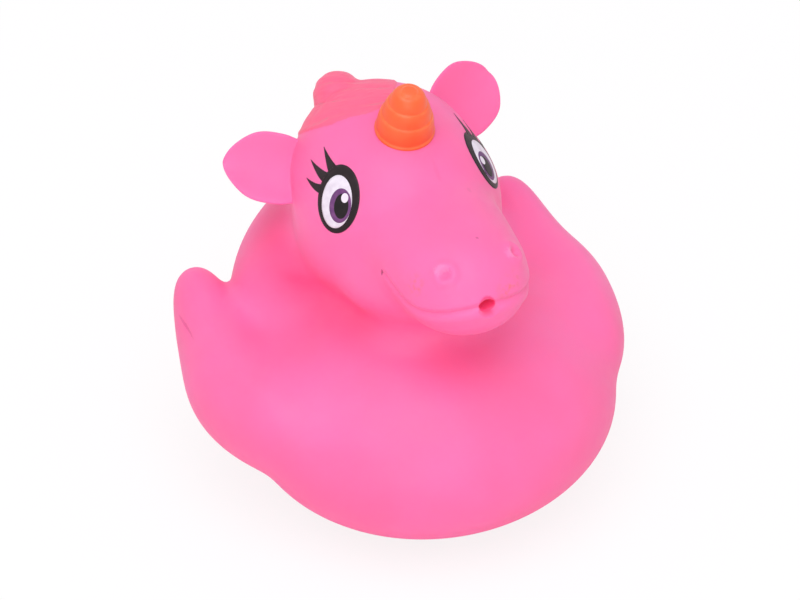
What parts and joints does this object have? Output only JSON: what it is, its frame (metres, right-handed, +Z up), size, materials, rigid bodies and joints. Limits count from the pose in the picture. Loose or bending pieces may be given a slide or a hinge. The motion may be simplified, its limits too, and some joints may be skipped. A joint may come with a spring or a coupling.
{
  "type": "rubber duck",
  "caption": "Hollow soft vinyl bath duck with a bowl-shaped hull, raised wings and a horned pony's head; squirts water from a hole in its mouth and stands on a small flat base.",
  "frame": {"origin": "on the table, under the middle of the toy's box", "axes": "+Z up, -Y the way the muzzle points, +X the toy's left side"},
  "size_m": [0.082, 0.0864, 0.0812],
  "materials": {
    "pink_vinyl": "satin",
    "orange_paint": "satin",
    "eye_print": "satin"
  },
  "bodies": {
    "root": {"duck": "pink_vinyl"}
  },
  "joints": []
}
